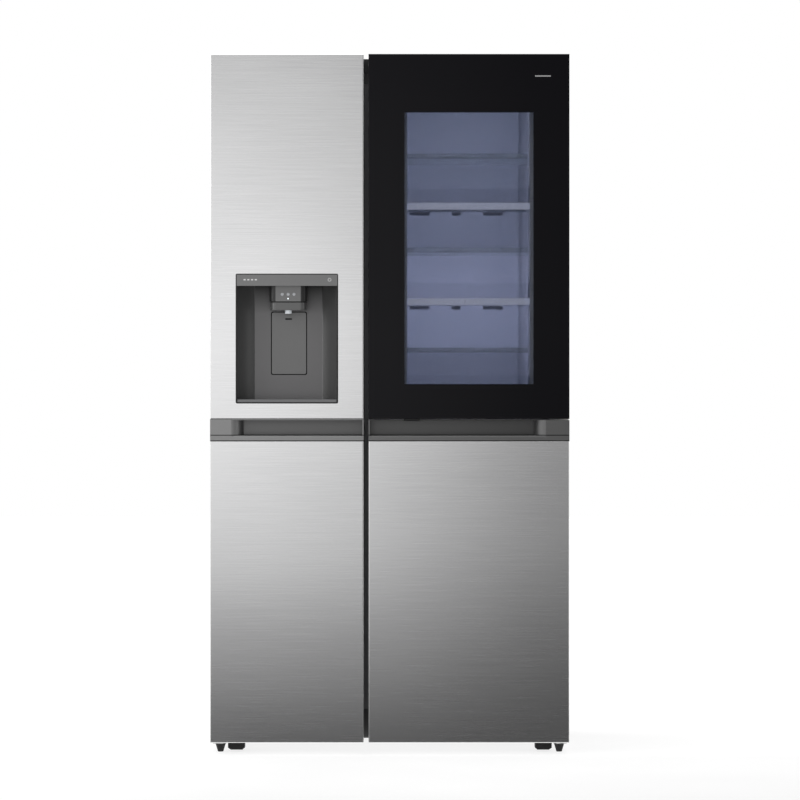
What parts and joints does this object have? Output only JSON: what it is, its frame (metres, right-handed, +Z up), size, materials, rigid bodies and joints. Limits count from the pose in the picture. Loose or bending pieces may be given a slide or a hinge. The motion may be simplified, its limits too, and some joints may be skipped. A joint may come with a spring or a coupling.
{
  "type": "side by side refrigerator",
  "caption": "Side by side refrigerator with steel doors, recessed grips, an outer glass door over the upper right half and a water dispenser in the left door",
  "frame": {"origin": "on the floor, under the middle of the closed machine", "axes": "+Z up, -Y is the front with the doors, +X to the right seen from the front"},
  "size_m": [0.913, 0.735, 1.78],
  "materials": {
    "case_paint": "satin",
    "foam": "matte",
    "liner_plastic": "gloss",
    "dark_plastic": "matte",
    "zinc_steel": "satin",
    "black_paint": "satin",
    "coil_aluminium": "satin",
    "shelf_glass": "clear",
    "lamp_plastic": "gloss",
    "steel_skin": "brushed",
    "handle_grey": "satin",
    "seal_rubber": "matte",
    "clear_plastic": "clear",
    "black_glass": "gloss"
  },
  "bodies": {
    "cabinet": {"outer_case": "case_paint", "rear_panel": "case_paint", "insulation": "foam", "freezer_liner": "liner_plastic", "fridge_liner": "liner_plastic", "mullion_strip": "dark_plastic", "base_plate": "zinc_steel", "machine_cover": "case_paint", "compressor": "black_paint", "condenser": "coil_aluminium", "fan_bracket": "dark_plastic", "water_valve": "liner_plastic", "power_inlet": "dark_plastic", "freezer_duct": "liner_plastic", "evaporator": "coil_aluminium", "fridge_duct": "liner_plastic", "freezer_shelves": "shelf_glass", "fridge_shelves": "shelf_glass", "lamp_lenses": "lamp_plastic", "top_hinges": "zinc_steel", "top_covers": "dark_plastic", "bottom_hinges": "zinc_steel", "roller_housings": "black_paint", "cabinet_screws": "zinc_steel"},
    "freezer_door": {"freezer_core": "foam", "freezer_upper_skin": "steel_skin", "freezer_lower_skin": "steel_skin", "freezer_handle": "handle_grey", "freezer_door_liner": "liner_plastic", "freezer_gasket": "seal_rubber", "freezer_bins": "clear_plastic", "dispenser_housing": "handle_grey", "dispenser_fascia": "handle_grey", "dispenser_nozzle": "handle_grey", "ice_bin": "clear_plastic"},
    "fridge_door": {"fridge_core": "foam", "fridge_lower_skin": "steel_skin", "fridge_handle": "handle_grey", "fridge_door_liner": "liner_plastic", "fridge_gasket": "seal_rubber", "fridge_bins": "clear_plastic", "basket_frame": "liner_plastic", "basket_bins": "clear_plastic", "view_hinges": "zinc_steel"},
    "view_door": {"view_glass": "black_glass", "view_frame": "dark_plastic", "view_inner_glass": "shelf_glass", "view_gasket": "seal_rubber"},
    "lever": {"view_lever": "dark_plastic"},
    "paddle": {"dispenser_paddle": "handle_grey"},
    "drip_tray": {"dispenser_tray": "dark_plastic"},
    "machine_fan": {"condenser_fan": "dark_plastic"},
    "coil_fan": {"evaporator_fan": "liner_plastic"},
    "freezer_drawer_body": {"freezer_drawer": "clear_plastic"},
    "fridge_drawer_high_body": {"fridge_drawer_high": "clear_plastic"},
    "fridge_drawer_low_body": {"fridge_drawer_low": "clear_plastic"},
    "left_foot_body": {"left_foot": "dark_plastic"},
    "right_foot_body": {"right_foot": "dark_plastic"},
    "front_rollers_body": {"front_rollers": "dark_plastic"},
    "rear_rollers_body": {"rear_rollers": "dark_plastic"}
  },
  "joints": [
    {"name": "freezer_door_swing", "type": "hinge", "parent": "cabinet", "child": "freezer_door", "pos_m": [-0.4385, -0.29, 0.9], "axis": [0, 0, -1], "range_deg": [0, 120]},
    {"name": "fridge_door_swing", "type": "hinge", "parent": "cabinet", "child": "fridge_door", "pos_m": [0.4385, -0.29, 0.9], "axis": [0, 0, 1], "range_deg": [0, 110]},
    {"name": "view_door_swing", "type": "hinge", "parent": "fridge_door", "child": "view_door", "pos_m": [0.441, -0.34, 1.3], "axis": [0, 0, 1], "range_deg": [0, 105]},
    {"name": "lever_lift", "type": "slide", "parent": "view_door", "child": "lever", "axis": [0, 0, 1], "range_m": [0, 0.004], "stiffness_N_per_m": 400},
    {"name": "paddle_push", "type": "hinge", "parent": "freezer_door", "child": "paddle", "pos_m": [-0.2587, -0.298, 1.119], "axis": [1, 0, 0], "range_deg": [0, 3], "stiffness_Nm_per_rad": 1},
    {"name": "drip_tray_pull", "type": "slide", "parent": "freezer_door", "child": "drip_tray", "axis": [0, -1, 0], "range_m": [0, 0.05]},
    {"name": "machine_fan_spin", "type": "hinge", "parent": "cabinet", "child": "machine_fan", "pos_m": [0.015, 0.25, 0.132], "axis": [1, 0, 0], "continuous": true},
    {"name": "coil_fan_spin", "type": "hinge", "parent": "cabinet", "child": "coil_fan", "pos_m": [-0.248, 0.281, 0.68], "axis": [0, 1, 0], "continuous": true},
    {"name": "freezer_drawer_pull", "type": "slide", "parent": "cabinet", "child": "freezer_drawer_body", "axis": [0, -1, 0], "range_m": [0, 0.075]},
    {"name": "fridge_drawer_high_pull", "type": "slide", "parent": "cabinet", "child": "fridge_drawer_high_body", "axis": [0, -1, 0], "range_m": [0, 0.075]},
    {"name": "fridge_drawer_low_pull", "type": "slide", "parent": "cabinet", "child": "fridge_drawer_low_body", "axis": [0, -1, 0], "range_m": [0, 0.075]},
    {"name": "left_foot_turn", "type": "hinge", "parent": "cabinet", "child": "left_foot_body", "pos_m": [-0.434, -0.27, 0.01], "axis": [0, 0, 1], "continuous": true},
    {"name": "right_foot_turn", "type": "hinge", "parent": "cabinet", "child": "right_foot_body", "pos_m": [0.434, -0.27, 0.01], "axis": [0, 0, 1], "continuous": true},
    {"name": "front_roller_roll", "type": "hinge", "parent": "cabinet", "child": "front_rollers_body", "pos_m": [0, -0.228, 0.0155], "axis": [1, 0, 0], "continuous": true},
    {"name": "rear_roller_roll", "type": "hinge", "parent": "cabinet", "child": "rear_rollers_body", "pos_m": [0, 0.325, 0.016], "axis": [1, 0, 0], "continuous": true}
  ]
}
